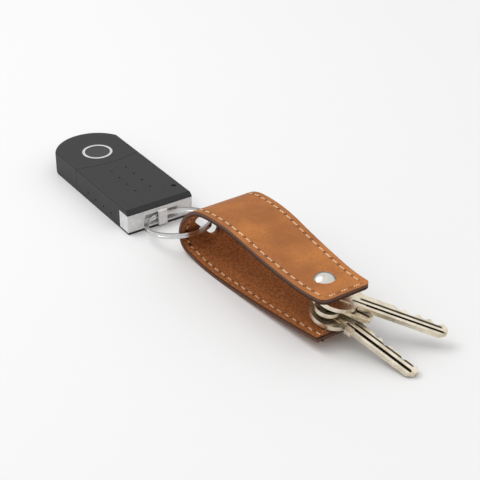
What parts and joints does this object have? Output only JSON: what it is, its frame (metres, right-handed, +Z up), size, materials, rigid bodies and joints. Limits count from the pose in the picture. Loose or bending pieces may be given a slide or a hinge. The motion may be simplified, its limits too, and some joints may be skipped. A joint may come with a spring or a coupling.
{
  "type": "key organiser",
  "caption": "Folded leather strap closed by a screw post that holds swinging keys, with a split ring through its fold carrying a car remote.",
  "frame": {"origin": "centre of the whole object at the surface that it lies on", "axes": "X along the strap from its fold towards the keys, Y across the strap, Z up"},
  "size_m": [0.2287, 0.056, 0.0286],
  "materials": {
    "leather": "smooth vegetable-tanned, slightly waxed",
    "suede": "rough flesh side, dark brown",
    "thread": "waxed cream thread",
    "nickel": "polished nickel plate",
    "nickel_silver": "worn nickel-silver key blank",
    "spring_steel": "plated spring steel",
    "black_plastic": "fine matt texture",
    "silver_plastic": "satin silver paint",
    "badge_dark": "dark gloss",
    "badge_bright": "bright ring",
    "steel": "machined",
    "board": "green solder mask",
    "rubber": "moulded silicone",
    "ferrite": "ferrite core"
  },
  "bodies": {
    "strap": {"strap_leather": "leather", "strap_lining": "suede", "stitching": "thread", "post_barrel": "nickel", "post_screw": "nickel"},
    "key_upper": {"key_upper": "nickel_silver"},
    "key_middle": {"key_middle": "nickel_silver"},
    "key_lower": {"key_lower": "nickel_silver"},
    "ring": {"split_ring": "spring_steel"},
    "spare_key": {"aux_key_head": "silver_plastic", "aux_key_blade": "steel"},
    "remote": {"remote_bottom_plate": "black_plastic", "remote_frame": "black_plastic", "remote_top_cover": "black_plastic", "remote_end_cap": "black_plastic", "badge_ring": "badge_bright", "badge_disc": "badge_dark", "circuit_board": "board", "button_mat": "rubber", "coin_cell": "steel", "battery_contact": "steel", "antenna_coil": "ferrite"},
    "button_front": {"remote_button_front": "rubber"},
    "button_middle": {"remote_button_middle": "rubber"},
    "button_rear": {"remote_button_rear": "rubber"},
    "release_pin": {"release_pin": "black_plastic"}
  },
  "joints": [
    {"name": "key_upper_swing", "type": "hinge", "parent": "strap", "child": "key_upper", "pos_m": [0.06981, -0.00446, 0.0188], "axis": [0.1218, -0.0038, 0.9925], "continuous": true},
    {"name": "key_middle_swing", "type": "hinge", "parent": "strap", "child": "key_middle", "pos_m": [0.06981, -0.00446, 0.01515], "axis": [0.1218, -0.0038, 0.9925], "continuous": true},
    {"name": "key_lower_swing", "type": "hinge", "parent": "strap", "child": "key_lower", "pos_m": [0.06981, -0.00446, 0.0116], "axis": [0.1218, -0.0038, 0.9925], "continuous": true},
    {"name": "ring_swing", "type": "hinge", "parent": "strap", "child": "ring", "pos_m": [-0.01045, -0.00197, 0.0088], "axis": [0.0311, 0.9995, 0], "range_deg": [-2, 16]},
    {"name": "remote_swing", "type": "hinge", "parent": "ring", "child": "spare_key", "pos_m": [-0.03534, -0.0109, 0.0053], "axis": [0.0436, 0.999, 0], "range_deg": [-14, 10]},
    {"name": "remote_slide", "type": "slide", "parent": "spare_key", "child": "remote", "axis": [-0.999, 0.0436, 0], "range_m": [0, 0.056]},
    {"name": "button_front_press", "type": "slide", "parent": "remote", "child": "button_front", "axis": [0, 0, 1], "range_m": [0, 0.0003], "stiffness_N_per_m": 1500, "springref_m": -0.0003},
    {"name": "button_middle_press", "type": "slide", "parent": "remote", "child": "button_middle", "axis": [0, 0, 1], "range_m": [0, 0.0003], "stiffness_N_per_m": 1500, "springref_m": -0.0003},
    {"name": "button_rear_press", "type": "slide", "parent": "remote", "child": "button_rear", "axis": [0, 0, 1], "range_m": [0, 0.0003], "stiffness_N_per_m": 1500, "springref_m": -0.0003},
    {"name": "release_pin_press", "type": "slide", "parent": "remote", "child": "release_pin", "axis": [0, 0, -1], "range_m": [0, 0.0004], "stiffness_N_per_m": 1500, "springref_m": -0.0003}
  ]
}
